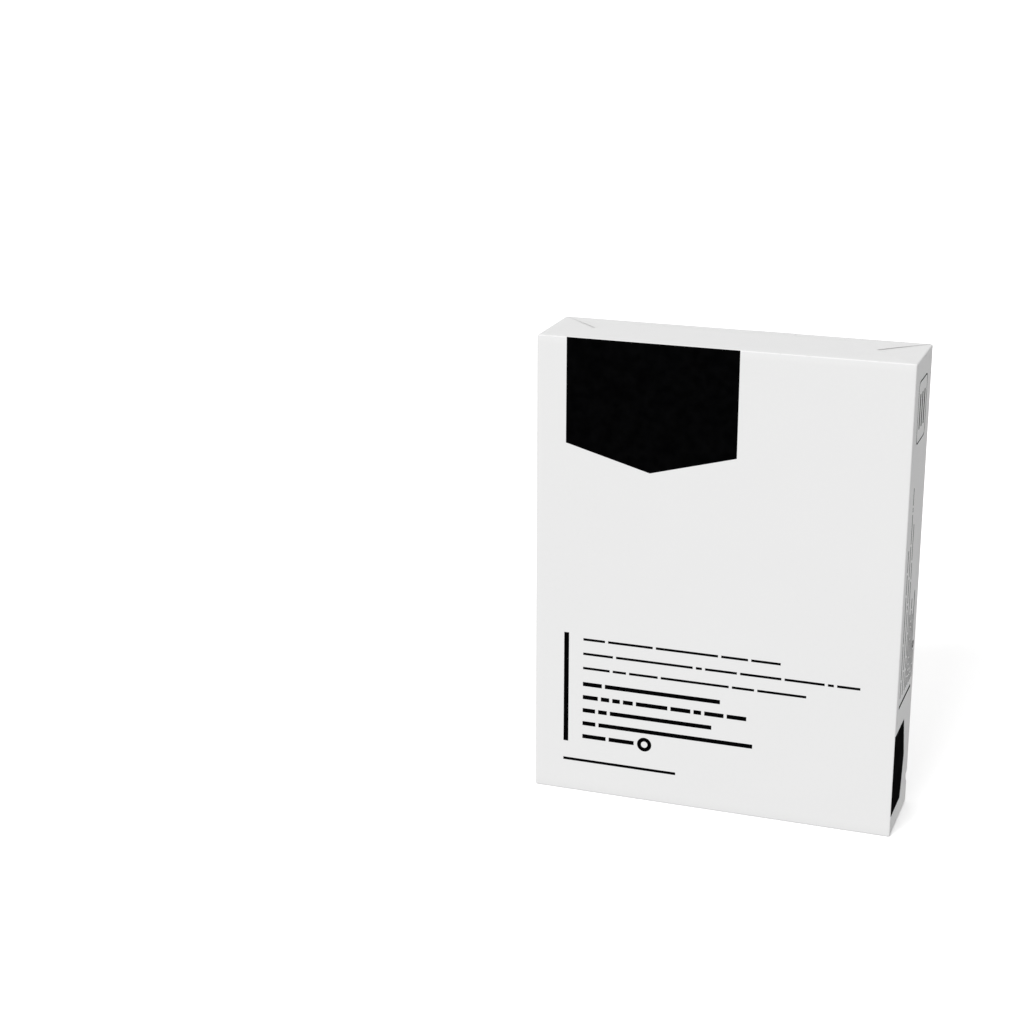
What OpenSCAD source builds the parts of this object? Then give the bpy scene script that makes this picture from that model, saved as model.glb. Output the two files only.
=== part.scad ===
// Ream of copier paper in its sealed printed wrapper, standing on one folded end.
// The stack of sheets and the wrapper are one closed solid: the pack is sealed and can't be seen into.
// The printed front panel faces -Y, the lap seam runs down the back, and the sheets' long side runs up Z.

/* [Sheets] */
// Width of one sheet
sheet_w = 215.9; // [200:0.1:220]
// Length of one sheet
sheet_l = 279.4; // [270:0.1:300]
// Height of the pressed stack of sheets
stack_t = 52; // [48:0.1:58]

/* [Wrapper] */
// Thickness of one layer of the coated wrapping paper
ply = 0.11; // [0.1:0.005:0.15]
// How far the sheets' long sides stand out of line and hold the wrapper out
side_slack = 0.25; // [0:0.05:0.5]
// Radius that the wrapper takes round the edges of the stack
edge_r = 0.8; // [0.6:0.1:1.6]
// Length of wrapper left over past each end of the stack, folded in as flaps
flap_l = 44; // [33:0.5:45]
// Share of the strip in front of the inner flap over which the outer flap slopes down
slope_share = 0.7; // [0.4:0.05:0.95]

/* [Lap seam] */
// Width of the glued overlap down the back
seam_lap = 26; // [15:1:40]
// Free edge of the overlap, measured from the middle of the back
seam_x = 31; // [20:1:50]
// Width over which the outer layer slopes down past the layer under it
seam_slope = 3; // [2:0.5:5]

/* [Edge dent] */
// Height of the middle of the dent in the back right edge
dent_z = 17; // [14:0.5:40]
// Length of the dent along the edge
dent_l = 11; // [8:0.5:18]
// Depth of the dent, measured in from the corner of the square edge
dent_depth = 1.3; // [1:0.05:1.7]

/* [Front print] */
// Thickness of the printed ink
ink = 0.05; // [0.03:0.01:0.06]
// Left margin of the pennant, the bar and the address line
print_margin = 18; // [14:0.1:22]
// Width of the pennant that hangs from the top edge
pennant_w = 101; // [90:0.5:120]
// Length of the pennant's straight sides
pennant_side = 62.6; // [50:0.1:80]
// Length of the pennant at its point
pennant_tip = 76.2; // [68:0.1:95]
// How far short of the folded edge the ink of a pennant ends
pennant_gap = 0.25; // [0.15:0.05:0.5]
// Height of the upright bar's top below the top of the pack
bar_top = 179.1; // [174:0.1:185]
// Length of the upright bar
bar_l = 69.6; // [60:0.1:75]
// Width of the upright bar
bar_w = 3; // [2:0.1:4]
// Left edge of the lines beside the bar
lines_x = 29.9; // [27:0.1:34]
// Height of a thin line
thin_h = 1.5; // [0.8:0.1:2]
// Height of a bold line
bold_h = 2.6; // [2:0.1:4]
// First thin line below the top of the pack
thin_top = 182.3; // [178:0.1:184]
// Distance from one thin line to the next
thin_pitch = 9.1; // [8:0.05:10]
// First bold line below the top of the pack
bold_top = 210.7; // [208:0.1:213]
// Distance from one bold line to the next
bold_pitch = 8.4; // [7:0.05:9]
// Gap between the bars of a line
word_gap = 1.9; // [1:0.1:2.5]
// Middle of the ring sign, measured from the left edge of the lines
ring_x = 38.6; // [38:0.1:50]
// Outer diameter of the ring sign
ring_d = 8.8; // [6:0.1:10]
// Width of the ring sign's band
ring_band = 2.4; // [1:0.1:2.5]
// Short bottom line below the top of the pack
foot_top = 260.2; // [254:0.1:264]
// Length of the short bottom line
foot_l = 70; // [40:1:90]
// Height of the short bottom line
foot_h = 1.7; // [1:0.1:3]

/* [Side print] */
// Distance of the side pennant's lower edge above the base
side_pennant_z = 13.1; // [8:0.1:20]
// Width of the side pennant along the edge
side_pennant_w = 49.8; // [40:0.1:60]
// Reach of the side pennant's straight sides across the side
side_pennant_side = 28; // [24:0.1:33]
// Reach of the side pennant's point across the side
side_pennant_tip = 34.8; // [34:0.1:45]
// Height of the thin bar above the base
side_bar_z = 77.3; // [72:0.1:80]
// Width of the thin bar
side_bar_w = 1.7; // [1:0.1:3]
// Length of the thin bar across the side
side_bar_l = 37.6; // [30:0.1:42]
// Distance of the thin bar behind the front edge
side_margin = 5.7; // [4:0.1:8]
// Start of the lines above the base
side_lines_z = 83.2; // [81:0.1:86]
// First thin line behind the front edge
side_thin_top = 8; // [6:0.1:9.5]
// Size of the thin lines on the side against those on the front
side_thin_scale = 0.745; // [0.6:0.005:0.78]
// First bold line behind the front edge
side_bold_top = 26.3; // [24:0.1:27.5]
// Size of the bold lines on the side against those on the front
side_bold_scale = 0.53; // [0.4:0.005:0.6]
// Lower edge of the rounded frame above the base
frame_z = 231.5; // [224:0.1:233]
// Length of the rounded frame up the side
frame_l = 36; // [30:0.5:38]
// Width of the rounded frame across the side
frame_w = 27.6; // [24:0.5:32]
// Distance of the rounded frame behind the front edge
frame_margin = 11.4; // [9:0.5:14]
// Line width of the rounded frame
frame_line = 0.8; // [0.5:0.1:1.2]
// Corner radius of the rounded frame
frame_r = 4; // [2:0.5:6]
// Length of the bars in the rounded frame
frame_bar_l = 20; // [12:0.5:26]
// Height of the bars in the rounded frame
frame_bar_h = 2.4; // [1:0.1:4]

/* [Hidden] */
$fn = 64;
// A flap is two layers thick, because its slanted edges are folds
flap_t = 2 * ply;
// The wrapped body without its end flaps is the stack with one layer on each face
pack_w = sheet_w + 2 * (ply + side_slack);
pack_d = stack_t + 2 * ply;
tuck_h = sheet_l + 2 * ply;
// Height over the inner flaps, and over the outer flaps that lie on them
inner_h = tuck_h + 2 * flap_t;
pack_h = inner_h + 2 * flap_t;
// The overlap at the back and the ink on two faces are kept in balance about the middle of the base
shift_x = -ink / 2;
shift_y = (ink - ply) / 2;
// Free edge of the inner flap, measured back from the front face
inner_edge = pack_d - flap_l;
// Length over which an outer flap slopes down past the flap under it
flap_slope = slope_share * (inner_edge - edge_r);
// How far a cutter reaches past the thing that it cuts
past = 20;

// A rectangle with round corners about the origin
module rounded(w, h, r) {
    square([w - 2 * r, h], center = true);
    square([w, h - 2 * r], center = true);
    for (x = [-1, 1]) {
        for (y = [-1, 1]) {
            translate([x * (w / 2 - r), y * (h / 2 - r)])
                circle(r = r);
        }
    }
}

// A block of height h about the middle of the pack with every edge rounded
module soft_block(h) {
    intersection() {
        linear_extrude(height = h, center = true)
            rounded(pack_w, pack_d, edge_r);
        rotate([90, 0, 0])
            linear_extrude(height = pack_d, center = true)
                rounded(pack_w, h, edge_r);
        rotate([90, 0, 90])
            linear_extrude(height = pack_w, center = true)
                rounded(pack_d, h, edge_r);
    }
}

// The outline of a flap seen from the end: 45 degree folds run in from both ends of its hinge
module flap_plan() {
    polygon([
        [-pack_w / 2, -pack_d / 2],
        [pack_w / 2, -pack_d / 2],
        [pack_w / 2 - flap_l, -pack_d / 2 + flap_l],
        [-pack_w / 2 + flap_l, -pack_d / 2 + flap_l]
    ]);
}

// Inner flaps of both ends, folded in from the back over the side tucks
module inner_flaps() {
    intersection() {
        soft_block(inner_h);
        mirror([0, 1, 0])
            linear_extrude(height = pack_h, center = true)
                flap_plan();
    }
}

// The room in front of and over the raised part of an outer flap, seen from the side:
// the flap slopes down past the inner flap's free edge
module above_outer_flap() {
    slope_end = -pack_d / 2 + inner_edge;
    polygon([
        [-pack_d / 2 - past, 0],
        [slope_end - flap_slope, 0],
        [slope_end - flap_slope, inner_h / 2],
        [slope_end, pack_h / 2],
        [slope_end, pack_h / 2 + past],
        [-pack_d / 2 - past, pack_h / 2 + past]
    ]);
}

// Outer flaps of both ends, folded in from the front and glued down over the inner flaps
module outer_flaps() {
    intersection() {
        union() {
            soft_block(inner_h);
            difference() {
                soft_block(pack_h);
                for (side = [0, 1]) {
                    mirror([0, 0, side])
                        rotate([90, 0, 90])
                            linear_extrude(height = pack_w + past, center = true)
                                above_outer_flap();
                }
            }
        }
        linear_extrude(height = pack_h, center = true)
            flap_plan();
    }
}

// The overlap cut across, on a face that lies at a distance from the middle of the pack:
// a free edge on one side and a slope down on the other
module seam_outline(face) {
    polygon([
        [seam_x, 0],
        [seam_x, face + ply],
        [seam_x - seam_lap, face + ply],
        [seam_x - seam_lap - seam_slope, face],
        [seam_x - seam_lap - seam_slope, 0]
    ]);
}

// The outer layer of the lap seam, down the back and on over both inner flaps
module seam_strip() {
    intersection() {
        rotate([90, 0, 90])
            linear_extrude(height = pack_w, center = true)
                rounded(pack_d + 2 * ply, inner_h + 2 * ply, edge_r + ply);
        linear_extrude(height = pack_h + past, center = true)
            seam_outline(pack_d / 2);
        union() {
            for (end = [0, 1]) {
                mirror([0, 0, end])
                    rotate([90, 0, 0])
                        linear_extrude(height = pack_d + past, center = true)
                            seam_outline(inner_h / 2);
            }
        }
    }
}

// A shallow V across the back right edge, where the corner of the stack was knocked
module edge_dent() {
    translate([pack_w / 2, pack_d / 2, dent_z - pack_h / 2])
        rotate([0, 0, 45])
            rotate([90, 0, 0])
                linear_extrude(height = past, center = true)
                    polygon([
                        [-dent_depth, 0],
                        [dent_depth, -dent_l],
                        [dent_depth, dent_l]
                    ]);
}

// The sealed pack: sheets, wrapper, tucked ends and seam in one
module wrapped_ream() {
    color([0.92, 0.92, 0.91])
        translate([shift_x, shift_y, pack_h / 2])
            difference() {
                union() {
                    soft_block(tuck_h);
                    inner_flaps();
                    outer_flaps();
                    seam_strip();
                }
                edge_dent();
            }
}

// A bar of the print, placed by its left end and the middle of its height
module line_bar(x, y, l, h) {
    translate([x, y - h / 2])
        square([l, h]);
}

// A line of print as a row of bars, set one after the other from the left
module print_line(y, h, lengths) {
    for (i = [0 : len(lengths) - 1]) {
        start = [for (j = 0, x = 0; j <= i; x = x + lengths[j] + word_gap, j = j + 1) x];
        line_bar(start[i], y, lengths[i], h);
    }
}

// The pennant that hangs between x = 0 and w, with its upper edge at y = -top
module pennant(w, top, side, tip) {
    polygon([[0, -top], [w, -top], [w, -side], [w / 2, -tip], [0, -side]]);
}

// Three thin lines of print, with the middle of the first at y = 0
module thin_lines() {
    print_line(0, thin_h, [13.4, 27.3, 37.4, 15.9, 17.3]);
    print_line(-thin_pitch, thin_h, [18.4, 46.7, 3.6, 19, 24.3, 23.3, 3.4, 13.3]);
    print_line(-2 * thin_pitch, thin_h, [16.5, 8.2, 17.5, 40.9, 13.2, 28.7]);
}

// Five bold lines of print, with the middle of the first at y = 0 and a ring after the last
module bold_lines() {
    print_line(0, bold_h, [11.8, 70.2]);
    print_line(-bold_pitch, bold_h, [9.4, 5.2, 4.7, 6.1, 19.3, 12.1, 4.6, 11.6, 11.7]);
    print_line(-2 * bold_pitch, bold_h, [7.8, 5.4, 62.2]);
    print_line(-3 * bold_pitch, bold_h, [8.1, 94]);
    print_line(-4 * bold_pitch, bold_h, [14.6, 15.6]);
    translate([ring_x, -4 * bold_pitch])
        difference() {
            circle(d = ring_d);
            circle(d = ring_d - 2 * ring_band);
        }
}

// The front print, drawn from the top left corner with y going down
module front_layout() {
    translate([print_margin, 0])
        pennant(pennant_w, flap_t + pennant_gap, pennant_side, pennant_tip);
    translate([print_margin, -bar_top - bar_l])
        square([bar_w, bar_l]);
    translate([lines_x, -thin_top])
        thin_lines();
    translate([lines_x, -bold_top])
        bold_lines();
    translate([print_margin, -foot_top])
        line_bar(0, 0, foot_l, foot_h);
}

// The rounded frame with three plain bars in it
module mark_frame() {
    translate([frame_l / 2, -frame_w / 2]) {
        difference() {
            rounded(frame_l, frame_w, frame_r);
            rounded(frame_l - 2 * frame_line, frame_w - 2 * frame_line, frame_r - frame_line);
        }
        for (row = [-1, 0, 1]) {
            line_bar(-frame_bar_l / 2, row * frame_w / 4, frame_bar_l, frame_bar_h);
        }
    }
}

// The side print, drawn from the foot of the front edge with x going up the pack and y going back
module side_layout() {
    translate([side_pennant_z, 0])
        pennant(side_pennant_w, pennant_gap, side_pennant_side, side_pennant_tip);
    translate([side_bar_z, -side_margin - side_bar_l])
        square([side_bar_w, side_bar_l]);
    translate([side_lines_z, -side_thin_top])
        scale(side_thin_scale)
            thin_lines();
    translate([side_lines_z, -side_bold_top])
        scale(side_bold_scale)
            bold_lines();
    translate([frame_z, -frame_margin])
        mark_frame();
}

// The skin of ink over the front face and on into the top front edge
module front_skin() {
    rotate([90, 0, 90])
        linear_extrude(height = pack_w, center = true)
            difference() {
                rounded(pack_d + 2 * ink, inner_h + 2 * ink, edge_r + ink);
                rounded(pack_d, inner_h, edge_r);
            }
}

// The skin of ink over the right side and on into the front right edge
module side_skin() {
    linear_extrude(height = pack_h, center = true)
        difference() {
            rounded(pack_w + 2 * ink, pack_d + 2 * ink, edge_r + ink);
            rounded(pack_w, pack_d, edge_r);
        }
}

// Black ink on the front panel and on the right side
module black_print() {
    color([0.03, 0.03, 0.03])
        translate([shift_x, shift_y, pack_h / 2]) {
            intersection() {
                front_skin();
                translate([-pack_w / 2, -pack_d / 2 + edge_r, pack_h / 2])
                    rotate([90, 0, 0])
                        linear_extrude(height = past)
                            front_layout();
            }
            intersection() {
                side_skin();
                translate([pack_w / 2 - edge_r, -pack_d / 2, -pack_h / 2])
                    rotate([0, -90, 180])
                        linear_extrude(height = past)
                            side_layout();
            }
        }
}

wrapped_ream();
black_print();
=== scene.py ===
# Ream of copier paper in its printed wrapper, standing on one folded end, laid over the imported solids.
import math

import bpy
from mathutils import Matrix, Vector


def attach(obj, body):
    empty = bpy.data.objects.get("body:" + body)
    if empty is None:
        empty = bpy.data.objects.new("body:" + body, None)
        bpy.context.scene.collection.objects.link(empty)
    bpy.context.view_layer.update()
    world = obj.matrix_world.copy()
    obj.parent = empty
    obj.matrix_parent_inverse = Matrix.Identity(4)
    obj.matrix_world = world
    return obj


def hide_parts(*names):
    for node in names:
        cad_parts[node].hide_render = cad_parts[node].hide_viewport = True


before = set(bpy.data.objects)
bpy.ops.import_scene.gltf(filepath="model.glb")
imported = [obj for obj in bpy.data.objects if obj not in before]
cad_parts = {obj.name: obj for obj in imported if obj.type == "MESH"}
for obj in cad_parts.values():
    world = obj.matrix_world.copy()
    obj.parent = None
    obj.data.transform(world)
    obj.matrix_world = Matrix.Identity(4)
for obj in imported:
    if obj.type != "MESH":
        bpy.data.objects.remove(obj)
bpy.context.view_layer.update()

# The stack in its wrapper: 500 letter-size sheets with one layer of coated paper drawn tight round them.
# The sheet edges keep the faces flat, and the wrapper takes a small radius round every edge.
# The ends show the side tucks here; the flaps that cover them are sheets of their own below.
SHEET_W, SHEET_L, STACK_T = 0.2159, 0.2794, 0.052
PLY = 0.00011
SIDE_SLACK = 0.00025
EDGE_R = 0.0008
ROUND_STEPS = 6
PACK_W = SHEET_W + 2 * (PLY + SIDE_SLACK)
PACK_D = STACK_T + 2 * PLY
TUCK_H = SHEET_L + 2 * PLY
FLAP_T = 2 * PLY
PACK_H = TUCK_H + 4 * FLAP_T
# the ink on two faces and the seam on the back set the middle of the pack off by a hair
INK_SKIN = 0.00005
MID = Vector((-INK_SKIN / 2, (INK_SKIN - PLY) / 2, PACK_H / 2))
TOUCH = 1e-6
SMOOTH_ANGLE = 35


def pick(obj, kind, test):
    """In edit mode, selects the vertices or edges whose points all pass the test, and nothing else."""
    bpy.ops.mesh.select_mode(type="VERT")
    bpy.ops.mesh.select_all(action="DESELECT")
    bpy.ops.mesh.select_mode(type=kind)
    bpy.ops.object.mode_set(mode="OBJECT")
    mesh = obj.data
    inside = [test(v.co - MID) for v in mesh.vertices]
    if kind == "VERT":
        mesh.vertices.foreach_set("select", inside)
    else:
        for edge in mesh.edges:
            edge.select = all(inside[i] for i in edge.vertices)
    bpy.ops.object.mode_set(mode="EDIT")


def cut(place, normal, cut_off=False):
    """Cuts the mesh in edit mode at a plane placed from the pack's middle; cut_off drops what is past it."""
    bpy.ops.mesh.select_all(action="SELECT")
    bpy.ops.mesh.bisect(plane_co=MID + Vector(place), plane_no=normal, clear_outer=cut_off)


def weigh(obj, name, weight):
    """Gives every vertex a weight from its place, measured from the middle of the pack."""
    group = obj.vertex_groups.new(name=name)
    for v in obj.data.vertices:
        group.add([v.index], max(0.0, min(1.0, weight(v.co - MID))), "REPLACE")
    return name


def take(obj):
    """Makes a piece the only one that is selected."""
    bpy.ops.object.select_all(action="DESELECT")
    obj.select_set(True)
    bpy.context.view_layer.objects.active = obj


def apply_all(obj):
    """Applies every modifier of a piece."""
    take(obj)
    for mod in list(obj.modifiers):
        bpy.ops.object.modifier_apply(modifier=mod.name)


def settle(obj):
    """Puts a finished piece at the origin and shades it smooth across its soft edges."""
    take(obj)
    bpy.ops.object.transform_apply(location=True, rotation=True, scale=True)
    bpy.ops.object.shade_smooth_by_angle(angle=math.radians(SMOOTH_ANGLE))


bpy.ops.object.select_all(action="DESELECT")
bpy.ops.mesh.primitive_cube_add(size=1, location=MID, scale=(PACK_W, PACK_D, TUCK_H))
body = bpy.context.object
body.name = "wrapped_body"
bpy.ops.object.transform_apply(location=True, rotation=True, scale=True)
bpy.ops.object.mode_set(mode="EDIT")
bpy.ops.mesh.select_mode(type="EDGE")
# cuts across X, Y and Z, close enough for the faces to carry a little slack
GRID_CUTS = (43, 11, 55)
for axis, cuts in enumerate(GRID_CUTS):
    bpy.ops.mesh.select_all(action="DESELECT")
    bpy.ops.object.mode_set(mode="OBJECT")
    points = body.data.vertices
    for edge in body.data.edges:
        a, b = (points[i].co for i in edge.vertices)
        edge.select = abs(a[axis] - b[axis]) > 0.5 * (b - a).length
    bpy.ops.object.mode_set(mode="EDIT")
    bpy.ops.mesh.subdivide(number_cuts=cuts)


def on_box_edge(p):
    """True on the twelve edges of the block."""
    near = [abs(abs(p[i]) - size / 2) < TOUCH for i, size in enumerate((PACK_W, PACK_D, TUCK_H))]
    return sum(near) >= 2


pick(body, "EDGE", on_box_edge)
bpy.ops.mesh.bevel(offset=EDGE_R, segments=ROUND_STEPS, profile=0.5, affect="EDGES")

# the knock in the back right edge, a little above the foot: a short V, with cuts round it to bend at
DENT_Z = 0.017 - PACK_H / 2
DENT_REACH = 0.0036
DENT_IN = 0.00074
for share in (-1, -0.67, -0.33, 0, 0.33, 0.67, 1):
    cut((0, 0, DENT_Z + share * DENT_REACH), (0, 0, 1))
for share in (0.5, 1):
    cut((PACK_W / 2 - EDGE_R - share * DENT_REACH, 0, 0), (1, 0, 0))
    cut((0, PACK_D / 2 - EDGE_R - share * DENT_REACH, 0), (0, 1, 0))


def knocked(p):
    """True on the rounded edge at the height of the knock."""
    from_corner = max(PACK_W / 2 - p.x, PACK_D / 2 - p.y)
    return from_corner < 0.9 * EDGE_R and abs(p.z - DENT_Z) < 10 * TOUCH


pick(body, "VERT", knocked)
bpy.ops.transform.translate(
    value=(-DENT_IN, -DENT_IN, 0), use_proportional_edit=True,
    proportional_edit_falloff="LINEAR", proportional_size=DENT_REACH)
bpy.ops.object.mode_set(mode="OBJECT")

# how far the wrapper stands off or sinks over its faces, and how near the edges it stays tight
SLACK = 0.0003
SLACK_CELL = 0.055
TIGHT_EDGE = 0.004
SLACK_RAMP = 0.012


def away_from_edges(p):
    """0 along the edges of the pack and 1 well inside each face."""
    gaps = sorted((PACK_W / 2 - abs(p.x), PACK_D / 2 - abs(p.y), TUCK_H / 2 - abs(p.z)))
    return (gaps[1] - TIGHT_EDGE) / SLACK_RAMP


slack = bpy.data.textures.new("wrapper_slack", "CLOUDS")
slack.noise_scale = SLACK_CELL
slack.noise_depth = 2
mod = body.modifiers.new("slack", "DISPLACE")
mod.texture = slack
mod.texture_coords = "LOCAL"
mod.strength = SLACK
mod.mid_level = 0.5
mod.vertex_group = weigh(body, "slack", away_from_edges)
apply_all(body)
settle(body)

# coated wrapping paper: a white clay coat with a satin gloss over short fibres, rubbed grey along the edges
PAPER_WHITE = (0.835, 0.835, 0.834, 1)
PAPER_SHADE = (0.818, 0.818, 0.816, 1)
PAPER_RUBBED = (0.70, 0.695, 0.68, 1)
# how near an edge the rubbing starts and is full, and how much rougher it leaves the coat
RUB_STARTS, RUB_FULL, RUB_ROUGHER = 0.0014, 0.0003, 0.3
# the edges of the sheets run up the pack, close together from front to back
SHEET_EDGE_SCALE = (6, 900, 6)
paper = bpy.data.materials.new("coated_wrapper_paper")
paper.use_nodes = True
# the functions below add to the material or the sky that nodes and links belong to at the time
nodes, links = paper.node_tree.nodes, paper.node_tree.links
shader = nodes["Principled BSDF"]
where = nodes.new("ShaderNodeTexCoord").outputs["Object"]


def noise(vector, scale, detail, rough=0.5):
    """A noise pattern over the given coordinates, in cells per metre."""
    node = nodes.new("ShaderNodeTexNoise")
    node.inputs["Scale"].default_value = scale
    node.inputs["Detail"].default_value = detail
    node.inputs["Roughness"].default_value = rough
    links.new(vector, node.inputs["Vector"])
    return node.outputs["Fac"]


def spread(value, old, new):
    """Maps a value from an old range to a new one, each given as its low and high end."""
    node = nodes.new("ShaderNodeMapRange")
    links.new(value, node.inputs["Value"])
    for name, number in zip(("From Min", "From Max", "To Min", "To Max"), old + new):
        node.inputs[name].default_value = number
    return node.outputs["Result"]


def maths(kind, a, b):
    """One arithmetic step on two values or numbers."""
    node = nodes.new("ShaderNodeMath")
    node.operation = kind
    for slot, value in zip(node.inputs, (a, b)):
        if isinstance(value, (int, float)):
            slot.default_value = value
        else:
            links.new(value, slot)
    return node.outputs["Value"]


def blend_colours(factor, first, second):
    """Mixes two colours by a value."""
    node = nodes.new("ShaderNodeMix")
    node.data_type = "RGBA"
    links.new(factor, node.inputs["Factor"])
    for slot, value in ((node.inputs["A"], first), (node.inputs["B"], second)):
        if isinstance(value, tuple):
            slot.default_value = value
        else:
            links.new(value, slot)
    return node.outputs["Result"]


def bumped(height, strength, distance, under=None):
    """A bump from a height pattern, over another bump if one is given."""
    node = nodes.new("ShaderNodeBump")
    node.inputs["Strength"].default_value = strength
    node.inputs["Distance"].default_value = distance
    links.new(height, node.inputs["Height"])
    if under is not None:
        links.new(under, node.inputs["Normal"])
    return node.outputs["Normal"]


def edge_rub():
    """0 on the faces of the pack and 1 along its edges."""
    move = nodes.new("ShaderNodeVectorMath")
    move.operation = "SUBTRACT"
    links.new(where, move.inputs[0])
    move.inputs[1].default_value = MID
    split = nodes.new("ShaderNodeSeparateXYZ")
    links.new(move.outputs["Vector"], split.inputs["Vector"])
    near = []
    for name, size in (("X", PACK_W), ("Y", PACK_D), ("Z", PACK_H)):
        reach = maths("ABSOLUTE", split.outputs[name], 0)
        near.append(spread(reach, (size / 2 - RUB_STARTS, size / 2 - RUB_FULL), (0, 1)))
    pairs = [maths("MULTIPLY", near[i], near[j]) for i, j in ((0, 1), (1, 2), (0, 2))]
    return maths("MAXIMUM", maths("MAXIMUM", pairs[0], pairs[1]), pairs[2])


cloudy = spread(noise(where, scale=9, detail=3), (0.35, 0.65), (0, 1))
mottle = spread(noise(where, scale=420, detail=4), (0.3, 0.7), (0, 0.5))
tone = blend_colours(maths("MULTIPLY", cloudy, mottle), PAPER_WHITE, PAPER_SHADE)
scuffs = spread(noise(where, scale=260, detail=5, rough=0.7), (0.52, 0.72), (0, 0.55))
rub = maths("MULTIPLY", edge_rub(), scuffs)
links.new(blend_colours(rub, tone, PAPER_RUBBED), shader.inputs["Base Color"])
satin = spread(noise(where, scale=60, detail=3), (0.3, 0.7), (0.50, 0.58))
links.new(maths("ADD", satin, maths("MULTIPLY", rub, RUB_ROUGHER)), shader.inputs["Roughness"])
shader.inputs["Specular IOR Level"].default_value = 0.4
shader.inputs["Sheen Weight"].default_value = 0.04
# the fibres, the coat over them, and the edges of the sheets that press through on the long sides
stretch = nodes.new("ShaderNodeMapping")
stretch.inputs["Scale"].default_value = SHEET_EDGE_SCALE
links.new(where, stretch.inputs["Vector"])
fibres = bumped(noise(where, scale=3200, detail=2), strength=0.25, distance=0.00002)
coat = bumped(noise(where, scale=900, detail=3), strength=0.3, distance=0.00004, under=fibres)
sheet_edges = bumped(noise(stretch.outputs["Vector"], scale=1, detail=2),
                     strength=0.25, distance=0.00006, under=coat)
links.new(sheet_edges, shader.inputs["Normal"])

body.data.materials.append(paper)
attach(body, "root")
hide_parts("wrapped_ream")

# End flaps: what the wrapper leaves over at each end, folded in and glued. The inner flap comes from the
# back, and the outer flap comes from the front and covers it. Their slanted edges are folds at 45 degrees,
# and the outer flap drops a little where the inner one ends under it. At the top they stand off by a hair.
FLAP_L = 0.044
# where the inner flap's free edge lies behind the front, and over how much of that the outer flap slopes
INNER_EDGE = PACK_D - FLAP_L
SLOPE_SHARE = 0.7
SLOPE = SLOPE_SHARE * (INNER_EDGE - EDGE_R)
INNER_LEVEL = TUCK_H / 2 + FLAP_T
OUTER_LEVEL = INNER_LEVEL + FLAP_T
FRONT = -PACK_D / 2
FLAP_ROWS = 16
FLAP_COLUMNS, FLAP_COLUMN_W = 40, 0.0026
WELD = 2e-6
# the outer flap is made a hair thinner than its two layers, so that it lies clear of what is under it
INNER_T, OUTER_T = PLY, 0.9 * FLAP_T
FOLD_ROUND, FOLD_ANGLE = 0.45 * PLY, 50
# how far in from a slanted fold and from the free edge the paper curls, and where the hinge holds it down
CURL_W, END_CURL_W = 0.007, 0.012
HINGE_HOLD, HINGE_RAMP = 0.003, 0.015
COVER_RAMP = 0.004
RIGHT_TIGHT = 0.65
# the strength of the curl, and the level of its pattern at which the paper would stay flat
INNER_CURL, INNER_CURL_MID = 0.00036, -0.7
OUTER_CURL, OUTER_CURL_MID = 0.00026, -0.3
CURL_CELL = 0.022
# a row of faces this wide along each slanted fold keeps its rounding out of the flat paper beside it
FOLD_HOLD = 0.0003
curl = bpy.data.textures.new("flap_curl", "CLOUDS")
curl.noise_scale = CURL_CELL
curl.noise_depth = 1


def folded_sheet(name, level, drop):
    """One flap as a sheet hinged at the top front edge, from where it rises by the drop to its level."""
    hinge = level - drop
    skirt = hinge - TUCK_H / 2
    middle = MID + Vector((0, FRONT, hinge - EDGE_R - skirt / 2))
    bpy.ops.object.select_all(action="DESELECT")
    bpy.ops.mesh.primitive_plane_add(size=1, location=middle, rotation=(math.pi / 2, 0, 0))
    flap = bpy.context.object
    flap.name = name
    flap.scale = (PACK_W - 2 * EDGE_R, skirt, 1)
    bpy.ops.object.transform_apply(location=True, rotation=True, scale=True)
    bpy.ops.object.mode_set(mode="EDIT")
    pick(flap, "EDGE", lambda p: p.z > hinge - EDGE_R - TOUCH)
    bpy.ops.mesh.spin(steps=ROUND_STEPS, angle=math.pi / 2, axis=(1, 0, 0),
                      center=MID + Vector((0, FRONT + EDGE_R, hinge - EDGE_R)))
    # the outer flap runs level, up its slope in two steps, and level again; the inner flap is level all along
    reach = FRONT + EDGE_R
    steps = [(INNER_EDGE - SLOPE - EDGE_R, 0), (SLOPE / 2, drop / 2), (SLOPE / 2, drop / 2)] if drop else []
    rest = FLAP_L - EDGE_R - sum(run for run, rise in steps)
    steps += [(rest / FLAP_ROWS, 0)] * FLAP_ROWS
    for run, rise in steps:
        pick(flap, "EDGE", lambda p: abs(p.y - reach) < TOUCH and p.z > hinge - EDGE_R / 2)
        bpy.ops.mesh.extrude_region_move(TRANSFORM_OT_translate={"value": (0, run, rise)})
        reach += run
    for column in range(-FLAP_COLUMNS, FLAP_COLUMNS + 1):
        cut((column * FLAP_COLUMN_W, 0, 0), (1, 0, 0))
    for side in (-1, 1):
        for inset in (0, FOLD_HOLD, CURL_W / 2, CURL_W):
            along = side * (PACK_W / 2 - EDGE_R - inset * math.sqrt(2))
            cut((along, FRONT, 0), (side, 1, 0), cut_off=inset == 0)
    bpy.ops.mesh.select_all(action="SELECT")
    bpy.ops.mesh.remove_doubles(threshold=WELD)
    bpy.ops.mesh.normals_make_consistent(inside=False)
    bpy.ops.object.mode_set(mode="OBJECT")
    return flap


def turn_over(obj, back_to_front, top_to_foot):
    """Mirrors a sheet about the middle of the pack."""
    mirror = (1, -1 if back_to_front else 1, -1 if top_to_foot else 1)
    bpy.ops.object.mode_set(mode="EDIT")
    bpy.ops.mesh.select_all(action="SELECT")
    bpy.ops.transform.resize(value=mirror, center_override=MID)
    bpy.ops.mesh.normals_make_consistent(inside=False)
    bpy.ops.object.mode_set(mode="OBJECT")


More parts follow.
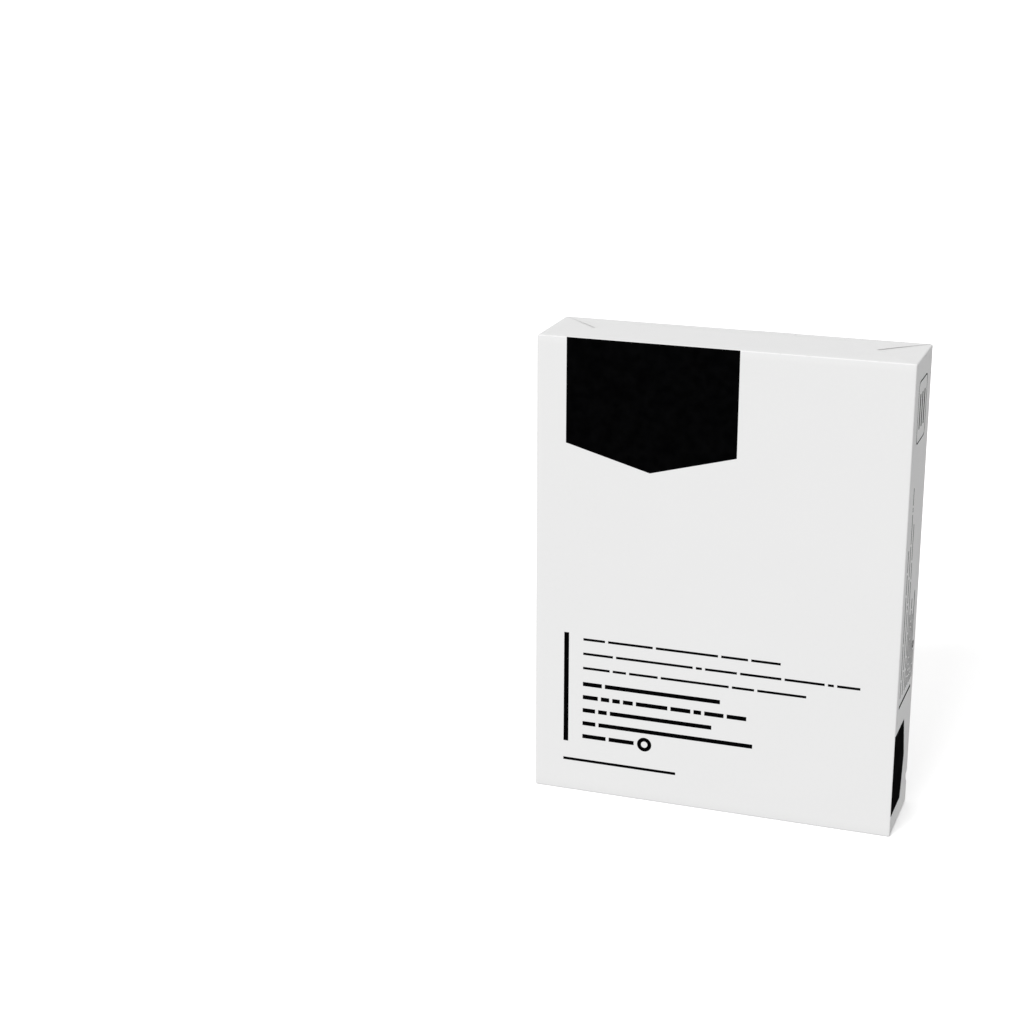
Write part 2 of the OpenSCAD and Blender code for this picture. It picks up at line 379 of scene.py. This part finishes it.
def face_outwards(obj):
    """Turns a sheet round if its largest face looks into the pack."""
    face = max(obj.data.polygons, key=lambda f: f.area)
    if face.normal.dot(face.center - MID) < 0:
        obj.data.flip_normals()


def loose(p, at_back):
    """1 along the slanted folds and the outer free edge, 0 by the hinge and under the other flap."""
    from_hinge = (-p.y if at_back else p.y) - FRONT
    to_fold = (PACK_W / 2 - EDGE_R - abs(p.x) - from_hinge) / math.sqrt(2)
    near_fold = max(0, 1 - to_fold / CURL_W)
    near_end = max(0, 1 - (FLAP_L - from_hinge) / END_CURL_W)
    held = min(1, max(0, (from_hinge - HINGE_HOLD) / HINGE_RAMP))
    uncovered = min(1, max(0, 1 + p.y / COVER_RAMP)) if at_back else 1
    tight = RIGHT_TIGHT if p.x > 0 else 1
    return held * uncovered * (near_fold * tight if at_back else max(near_fold, near_end))


for name, level, drop, at_back, at_foot in (
        ("top_inner_flap", INNER_LEVEL, 0, True, False),
        ("top_outer_flap", OUTER_LEVEL, FLAP_T, False, False),
        ("bottom_inner_flap", INNER_LEVEL, 0, True, True),
        ("bottom_outer_flap", OUTER_LEVEL, FLAP_T, False, True)):
    flap = folded_sheet(name, level, drop)
    turn_over(flap, at_back, at_foot)
    face_outwards(flap)
    # the weight of the pack presses the foot flat, so only the top flaps curl
    if not at_foot:
        mod = flap.modifiers.new("curl", "DISPLACE")
        mod.direction = "Z"
        mod.texture = curl
        mod.texture_coords = "LOCAL"
        mod.strength = INNER_CURL if at_back else OUTER_CURL
        mod.mid_level = INNER_CURL_MID if at_back else OUTER_CURL_MID
        mod.vertex_group = weigh(flap, "loose", lambda p: loose(p, at_back))
    mod = flap.modifiers.new("thickness", "SOLIDIFY")
    mod.thickness = INNER_T if at_back else OUTER_T
    mod.offset = -1
    mod = flap.modifiers.new("fold", "BEVEL")
    mod.width = FOLD_ROUND
    mod.segments = 2
    mod.limit_method = "ANGLE"
    mod.angle_limit = math.radians(FOLD_ANGLE)
    apply_all(flap)
    settle(flap)
    flap.data.materials.append(paper)
    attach(flap, "root")
    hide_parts("wrapped_ream")

# Lap seam: the wrapper's two long edges overlap by 26 mm down the back and are glued. The outer layer ends in
# a cut edge that runs the whole height and on over both inner flaps, until the outer flaps cover it. It is
# stuck down in its middle, and the cut edge stands off a little between the ends.
SEAM_X = 0.031
SEAM_LAP = 0.026
# past the lap the strip slopes down into the back panel, and it runs on over each end
SEAM_SLOPE = 0.003
SEAM_OVER_END = 0.012
SEAM_TOP = INNER_LEVEL - EDGE_R
SEAM_ROWS, SEAM_ROW_H = 34, 0.004
SEAM_COLUMNS, SEAM_COLUMN_W = 12, 0.002
# it follows the slack of the back up to this near the ends
SEAM_PRESS_END, SEAM_PRESS_RAMP = 0.002, 0.004
SEAM_SINK = 2.4 * PLY
SEAM_CURL, SEAM_CURL_MID, SEAM_CURL_W = 0.0006, -0.1, 0.006
SEAM_END_HOLD, SEAM_END_RAMP = 0.003, 0.01
bpy.ops.object.select_all(action="DESELECT")
bpy.ops.mesh.primitive_plane_add(
    size=1, rotation=(math.pi / 2, 0, 0), location=MID + Vector((SEAM_X - SEAM_LAP / 2, PLY - FRONT, 0)))
seam = bpy.context.object
seam.name = "back_seam"
seam.scale = (SEAM_LAP, 2 * SEAM_TOP, 1)
bpy.ops.object.transform_apply(location=True, rotation=True, scale=True)
bpy.ops.object.mode_set(mode="EDIT")
for end in (1, -1):
    pick(seam, "EDGE", lambda p: p.z * end > SEAM_TOP - TOUCH)
    bpy.ops.mesh.spin(steps=ROUND_STEPS, angle=-end * math.pi / 2, axis=(1, 0, 0),
                      center=MID + Vector((0, -FRONT - EDGE_R, end * SEAM_TOP)))
    pick(seam, "EDGE", lambda p: p.z * end > INNER_LEVEL and abs(p.y + FRONT + EDGE_R) < TOUCH)
    bpy.ops.mesh.extrude_region_move(TRANSFORM_OT_translate={"value": (0, -SEAM_OVER_END, 0)})
pick(seam, "EDGE", lambda p: abs(p.x - (SEAM_X - SEAM_LAP)) < TOUCH)
bpy.ops.mesh.extrude_region_move(TRANSFORM_OT_translate={"value": (-SEAM_SLOPE, 0, 0)})
for row in range(-SEAM_ROWS, SEAM_ROWS + 1):
    cut((0, 0, row * SEAM_ROW_H), (0, 0, 1))
for column in range(1, SEAM_COLUMNS + 1):
    cut((SEAM_X - column * SEAM_COLUMN_W, 0, 0), (1, 0, 0))
bpy.ops.mesh.select_all(action="SELECT")
bpy.ops.mesh.remove_doubles(threshold=WELD)
bpy.ops.mesh.normals_make_consistent(inside=False)
bpy.ops.object.mode_set(mode="OBJECT")
face_outwards(seam)
mod = seam.modifiers.new("pressed", "SHRINKWRAP")
mod.target = body
mod.wrap_method = "NEAREST_SURFACEPOINT"
mod.wrap_mode = "ABOVE_SURFACE"
mod.offset = PLY
mod.vertex_group = weigh(seam, "flat", lambda p: (SEAM_TOP - SEAM_PRESS_END - abs(p.z)) / SEAM_PRESS_RAMP)
apply_all(seam)
# the far side of the strip runs on as the back panel, so here it sinks into the layer under it
sink = (1, 1 - SEAM_SINK / PACK_D, 1 - SEAM_SINK / PACK_H)
bpy.ops.object.mode_set(mode="EDIT")
pick(seam, "VERT", lambda p: p.x < SEAM_X - SEAM_LAP - SEAM_SLOPE / 2)
bpy.ops.transform.resize(value=sink, center_override=MID)
bpy.ops.object.mode_set(mode="OBJECT")


def off_the_glue(p):
    """1 along the cut edge between the ends of the pack, 0 over the glue and round the ends."""
    near_cut = max(0, 1 - (SEAM_X - p.x) / SEAM_CURL_W)
    between_ends = min(1, max(0, (SEAM_TOP - SEAM_END_HOLD - abs(p.z)) / SEAM_END_RAMP))
    return near_cut * between_ends


mod = seam.modifiers.new("curl", "DISPLACE")
mod.direction = "Y"
mod.texture = curl
mod.texture_coords = "LOCAL"
mod.strength = SEAM_CURL
mod.mid_level = SEAM_CURL_MID
mod.vertex_group = weigh(seam, "loose", off_the_glue)
mod = seam.modifiers.new("thickness", "SOLIDIFY")
mod.thickness = PLY
mod.offset = -1
apply_all(seam)
settle(seam)
seam.data.materials.append(paper)
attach(seam, "root")
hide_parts("wrapped_ream")

# Front print: one black ink, rolled on the flat paper as a thin satin film before the wrapper is folded. A
# pennant hangs from the top edge; below are an upright bar with thin and bold lines beside it, a ring sign
# and a short line at the foot. The film follows the slack of the wrapper under it.
INK_BLACK = (0.0010, 0.0010, 0.0011, 1)
INK_THIN = (0.0022, 0.0022, 0.0024, 1)
INK_CRACKED = (0.16, 0.16, 0.158, 1)
# how far the ink's outer face stands off the paper, and how thick the film is
INK = 0.00004
FILM_T = 0.8 * INK
FILM_CELL = 0.0045
FILM_ROUND_STEPS = 4
PRESS_RAMP = 0.002
LEFT = -PACK_W / 2
TOP = PACK_H / 2
# places on the front are down from the top of the pack, for lines to their middles; X is in from the left
MARGIN = 0.018
PENNANT_W, PENNANT_SIDE, PENNANT_TIP = 0.101, 0.0626, 0.0762
BAR_TOP, BAR_W, BAR_L = 0.1791, 0.0030, 0.0696
LINES_X = 0.0299
THIN_TOP, THIN_H, THIN_PITCH = 0.1823, 0.0015, 0.0091
BOLD_TOP, BOLD_H, BOLD_PITCH = 0.2107, 0.0026, 0.0084
FOOT_LINE_TOP, FOOT_LINE_L, FOOT_LINE_H = 0.2602, 0.070, 0.0017
RING_X, RING_R, RING_BAND = 0.0386, 0.0044, 0.0024
RING_ROW, RING_POINTS = 4, 48
WORD_GAP = 0.0019
# the lengths of the bars in each line, in millimetres
THIN_LINES = (
    (13.4, 27.3, 37.4, 15.9, 17.3),
    (18.4, 46.7, 3.6, 19, 24.3, 23.3, 3.4, 13.3),
    (16.5, 8.2, 17.5, 40.9, 13.2, 28.7))
BOLD_LINES = (
    (11.8, 70.2),
    (9.4, 5.2, 4.7, 6.1, 19.3, 12.1, 4.6, 11.6, 11.7),
    (7.8, 5.4, 62.2),
    (8.1, 94),
    (14.6, 15.6))

ink = bpy.data.materials.new("black_ink")
ink.use_nodes = True
nodes, links = ink.node_tree.nodes, ink.node_tree.links
shader = nodes["Principled BSDF"]
where = nodes.new("ShaderNodeTexCoord").outputs["Object"]
lay = spread(noise(where, scale=180, detail=4), (0.35, 0.7), (0, 1))
flecks = spread(noise(where, scale=2400, detail=3, rough=0.8), (0.66, 0.74), (0, 1))
worn = maths("MULTIPLY", edge_rub(), flecks)
black = blend_colours(lay, INK_BLACK, INK_THIN)
links.new(blend_colours(worn, black, INK_CRACKED), shader.inputs["Base Color"])
links.new(spread(noise(where, scale=90, detail=3), (0.3, 0.7), (0.42, 0.56)), shader.inputs["Roughness"])
# hardly any gloss, or the sky would turn the black fields grey
shader.inputs["IOR"].default_value = 1.006
press_marks = bumped(noise(where, scale=1200, detail=3), strength=0.2, distance=0.00003)
links.new(press_marks, shader.inputs["Normal"])


def line_boxes(lines, x, y, height, pitch, scale=1.0):
    """The bars of some lines of print as left, top, length and height, y running down."""
    for row, lengths in enumerate(lines):
        start = x
        for length in lengths:
            yield start, y + (row * pitch - height / 2) * scale, length / 1000 * scale, height * scale
            start += (length / 1000 + WORD_GAP) * scale


def film(name, corner, right, down):
    """Starts an empty print on one face of the pack; returns it with a function that lays a bar of it."""
    bpy.ops.object.select_all(action="DESELECT")
    bpy.ops.object.add(type="MESH", location=(0, 0, 0))
    obj = bpy.context.object
    obj.name = name
    bpy.ops.object.mode_set(mode="EDIT")
    turn = (math.pi / 2, 0, 0) if right.x else (0, math.pi / 2, 0)

    def lay_bar(x, y, length, height):
        """A bar with its left top corner at x and y, from the corner of the face."""
        middle = MID + corner + right * (x + length / 2) + down * (y + height / 2)
        size = [abs(length * a) + abs(height * b) or 1 for a, b in zip(right, down)]
        bpy.ops.mesh.select_all(action="DESELECT")
        bpy.ops.mesh.primitive_plane_add(size=1, location=middle, rotation=turn)
        bpy.ops.transform.resize(value=size, center_override=middle)

    return obj, lay_bar


def lay_ring(centre, radius, band, turn):
    """A flat ring, as a circle drawn in towards its middle."""
    bpy.ops.mesh.select_all(action="DESELECT")
    bpy.ops.mesh.primitive_circle_add(
        vertices=RING_POINTS, radius=radius, fill_type="NOTHING", location=centre, rotation=turn)
    bpy.ops.mesh.extrude_region_move()
    bpy.ops.transform.resize(value=[(radius - band) / radius] * 3, center_override=centre)


def cut_grid(axis):
    """Cuts the whole print across an axis at even steps, so that it can bend."""
    steps = int((PACK_W, PACK_D, PACK_H)[axis] / 2 / FILM_CELL)
    normal = [0, 0, 0]
    normal[axis] = 1
    for i in range(-steps, steps + 1):
        cut([i * FILM_CELL * n for n in normal], normal)


def finish_film(obj, pressed):
    """Presses a print onto the wrapper, gives it the thickness of ink, and hands it over."""
    bpy.ops.mesh.select_all(action="SELECT")
    bpy.ops.mesh.remove_doubles(threshold=WELD)
    bpy.ops.mesh.normals_make_consistent(inside=False)
    bpy.ops.object.mode_set(mode="OBJECT")
    mod = obj.modifiers.new("press", "SHRINKWRAP")
    mod.target = body
    mod.wrap_method = "NEAREST_SURFACEPOINT"
    mod.wrap_mode = "ABOVE_SURFACE"
    mod.offset = INK
    mod.vertex_group = weigh(obj, "flat", pressed)
    mod = obj.modifiers.new("thickness", "SOLIDIFY")
    mod.thickness = FILM_T
    mod.offset = -1
    apply_all(obj)
    settle(obj)
    obj.data.materials.append(ink)
    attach(obj, "root")
    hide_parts("black_print")


right, down = Vector((1, 0, 0)), Vector((0, 0, -1))
front_print, lay_bar = film("front_print", Vector((LEFT, FRONT - INK, TOP)), right, down)
# the pennant is a bar cut to two slants at its foot, and its top runs on round half of the pack's edge
hang_top = TOP - (INNER_LEVEL - EDGE_R)
lay_bar(MARGIN, hang_top, PENNANT_W, PENNANT_TIP - hang_top)
for side in (-1, 1):
    corner = (LEFT + MARGIN + PENNANT_W * (1 + side) / 2, 0, TOP - PENNANT_SIDE)
    slant = (side * (PENNANT_TIP - PENNANT_SIDE), 0, -PENNANT_W / 2)
    cut(corner, slant, cut_off=True)
pick(front_print, "EDGE", lambda p: p.z > TOP - hang_top - TOUCH)
bpy.ops.mesh.spin(steps=FILM_ROUND_STEPS, angle=math.pi / 4, axis=(1, 0, 0),
                  center=MID + Vector((0, FRONT + EDGE_R, TOP - hang_top)))
lay_bar(MARGIN, BAR_TOP, BAR_W, BAR_L)
for box in line_boxes(THIN_LINES, LINES_X, THIN_TOP, THIN_H, THIN_PITCH):
    lay_bar(*box)
for box in line_boxes(BOLD_LINES, LINES_X, BOLD_TOP, BOLD_H, BOLD_PITCH):
    lay_bar(*box)
lay_bar(MARGIN, FOOT_LINE_TOP - FOOT_LINE_H / 2, FOOT_LINE_L, FOOT_LINE_H)
ring_at = MID + Vector((LEFT + LINES_X + RING_X, FRONT - INK, TOP - BOLD_TOP - RING_ROW * BOLD_PITCH))
lay_ring(ring_at, RING_R, RING_BAND, (math.pi / 2, 0, 0))
cut_grid(0)
cut_grid(2)
finish_film(front_print, lambda p: (INNER_LEVEL - EDGE_R - PRESS_RAMP - p.z) / PRESS_RAMP)

# Side print: the same ink and the same things on the right side, drawn to be read with the pack on its back.
# The pennant starts round the front edge, a thin bar stands beside it, and a rounded frame with three plain
# bars is printed near the top.
FOOT = -PACK_H / 2
# the size of the thin and the bold lines here against those on the front
SIDE_THIN, SIDE_BOLD = 0.745, 0.53
# AT is up from the foot of the pack, and TOP, SIDE, TIP and BACK are measured back from the front face
SIDE_THIN_TOP, SIDE_BOLD_TOP = 0.008, 0.0263
LINES_AT = 0.0832
PENNANT_AT, SIDE_PENNANT_W, SIDE_PENNANT_SIDE, SIDE_PENNANT_TIP = 0.0131, 0.0498, 0.028, 0.0348
SIDE_BAR_AT, SIDE_BAR_BACK, SIDE_BAR_W, SIDE_BAR_L = 0.0773, 0.0057, 0.0017, 0.0376
MARK_AT, MARK_BACK, MARK_L, MARK_W, MARK_LINE, MARK_R = 0.2315, 0.0114, 0.036, 0.0276, 0.0008, 0.004
MARK_BAR_L, MARK_BAR_H, MARK_CORNER_STEPS = 0.020, 0.0024, 8
SIDE_PRESS_FROM = 0.001
right, down = Vector((0, 0, 1)), Vector((0, 1, 0))
side_print, lay_bar = film("side_print", Vector((PACK_W / 2 + INK, FRONT, FOOT)), right, down)
lay_bar(PENNANT_AT, EDGE_R, SIDE_PENNANT_W, SIDE_PENNANT_TIP - EDGE_R)
for side in (-1, 1):
    corner = (0, FRONT + SIDE_PENNANT_SIDE, FOOT + PENNANT_AT + SIDE_PENNANT_W * (1 + side) / 2)
    slant = (0, SIDE_PENNANT_W / 2, side * (SIDE_PENNANT_TIP - SIDE_PENNANT_SIDE))
    cut(corner, slant, cut_off=True)
pick(side_print, "EDGE", lambda p: p.y < FRONT + EDGE_R + TOUCH)
bpy.ops.mesh.spin(steps=FILM_ROUND_STEPS, angle=math.pi / 4, axis=(0, 0, 1),
                  center=MID + Vector((PACK_W / 2 - EDGE_R, FRONT + EDGE_R, 0)))
lay_bar(SIDE_BAR_AT, SIDE_BAR_BACK, SIDE_BAR_W, SIDE_BAR_L)
for box in line_boxes(THIN_LINES, LINES_AT, SIDE_THIN_TOP, THIN_H, THIN_PITCH, SIDE_THIN):
    lay_bar(*box)
for box in line_boxes(BOLD_LINES, LINES_AT, SIDE_BOLD_TOP, BOLD_H, BOLD_PITCH, SIDE_BOLD):
    lay_bar(*box)
ring_at = MID + Vector((PACK_W / 2 + INK, FRONT + SIDE_BOLD_TOP + RING_ROW * BOLD_PITCH * SIDE_BOLD,
                        FOOT + LINES_AT + RING_X * SIDE_BOLD))
lay_ring(ring_at, RING_R * SIDE_BOLD, RING_BAND * SIDE_BOLD, (0, math.pi / 2, 0))
for row in (-1, 0, 1):
    bar_back = MARK_BACK + MARK_W / 2 + row * MARK_W / 4 - MARK_BAR_H / 2
    lay_bar(MARK_AT + (MARK_L - MARK_BAR_L) / 2, bar_back, MARK_BAR_L, MARK_BAR_H)
# the frame is a bar with rounded corners whose middle is taken out
lay_bar(MARK_AT, MARK_BACK, MARK_L, MARK_W)
bpy.ops.mesh.bevel(offset=MARK_R, offset_type="OFFSET", segments=MARK_CORNER_STEPS, affect="VERTICES")
bpy.ops.mesh.select_mode(type="FACE")
bpy.ops.mesh.inset(thickness=MARK_LINE)
bpy.ops.mesh.delete(type="FACE")
cut_grid(1)
cut_grid(2)
finish_film(side_print, lambda p: (p.y - FRONT - EDGE_R - SIDE_PRESS_FROM) / PRESS_RAMP)

# Floor and light: a plain matt floor that runs out of sight, one broad lamp from the upper left, and an even
# sky. The camera sees the floor with the pack's shadow on it. To soft light and to reflections the floor is a
# painted glow of even strength with no shadow in it, so that the shadow doesn't darken the pack's own side.
FLOOR_R = 18
# over 1, so that the floor renders white with no more light on the pack
FLOOR_SEEN = (1.62, 1.62, 1.62, 1)
# the floor's painted glow for soft light and for reflections in place of the lit floor, and what the sky
# gives as light and as background
FLOOR_GLOW, FLOOR_GLOW_IN_REFLECTIONS = 0.285, 1
SKY_LIGHT, SKY_SEEN = 0.61, 1
LAMP_TURN, LAMP_ENERGY, LAMP_SPREAD = (62, 0, -18), 2.0, 36
bpy.ops.object.select_all(action="DESELECT")
bpy.ops.mesh.primitive_circle_add(vertices=64, radius=FLOOR_R, fill_type="NGON", location=(0, 0, 0))
floor = bpy.context.object
floor.name = "floor"
pale = bpy.data.materials.new("pale_floor")
pale.use_nodes = True
nodes, links = pale.node_tree.nodes, pale.node_tree.links
nodes.remove(nodes["Principled BSDF"])
rays = nodes.new("ShaderNodeLightPath").outputs
matt = nodes.new("ShaderNodeBsdfDiffuse")
matt.inputs["Color"].default_value = FLOOR_SEEN
# a painted glow: the floor shines with its own even light for soft light and reflections
floor_glow = nodes.new("ShaderNodeEmission")
links.new(spread(rays["Is Glossy Ray"], (0, 1), (FLOOR_GLOW, FLOOR_GLOW_IN_REFLECTIONS)), floor_glow.inputs["Strength"])
either = nodes.new("ShaderNodeMixShader")
links.new(maths("MAXIMUM", rays["Is Diffuse Ray"], rays["Is Glossy Ray"]), either.inputs["Fac"])
links.new(matt.outputs["BSDF"], either.inputs[1])
links.new(floor_glow.outputs["Emission"], either.inputs[2])
links.new(either.outputs["Shader"], nodes["Material Output"].inputs["Surface"])
# the floor's painted glow answers the rays that meet it, and none are aimed at it as at a lamp
pale.cycles.emission_sampling = "NONE"
floor.data.materials.append(pale)

sky = bpy.data.worlds.new("even_sky")
bpy.context.scene.world = sky
sky.use_nodes = True
nodes, links = sky.node_tree.nodes, sky.node_tree.links
rays = nodes.new("ShaderNodeLightPath").outputs
mirrored = maths("MAXIMUM", rays["Is Glossy Ray"], rays["Is Transmission Ray"])
behind = maths("MAXIMUM", rays["Is Camera Ray"], mirrored)
links.new(spread(behind, (0, 1), (SKY_LIGHT, SKY_SEEN)), nodes["Background"].inputs["Strength"])
nodes["Background"].inputs["Color"].default_value = (1, 1, 1, 1)

bpy.ops.object.light_add(type="SUN", rotation=[math.radians(a) for a in LAMP_TURN])
lamp = bpy.context.object
lamp.name = "broad_lamp"
lamp.data.energy = LAMP_ENERGY
lamp.data.angle = math.radians(LAMP_SPREAD)

# Camera at the photo's viewpoint: ahead and to the right of the pack, looking down on it.
CAMERA_AT = (0.27973, -1.15085, 0.54924)
CAMERA_TURN = (72.491, -0.023, 19.724)
SENSOR_W, LENS = 36, 74.918
bpy.ops.object.camera_add(location=CAMERA_AT, rotation=[math.radians(a) for a in CAMERA_TURN])
camera = bpy.context.object
camera.data.sensor_width = SENSOR_W
camera.data.lens = LENS
bpy.context.scene.camera = camera
bpy.context.scene.view_settings.view_transform = "Standard"
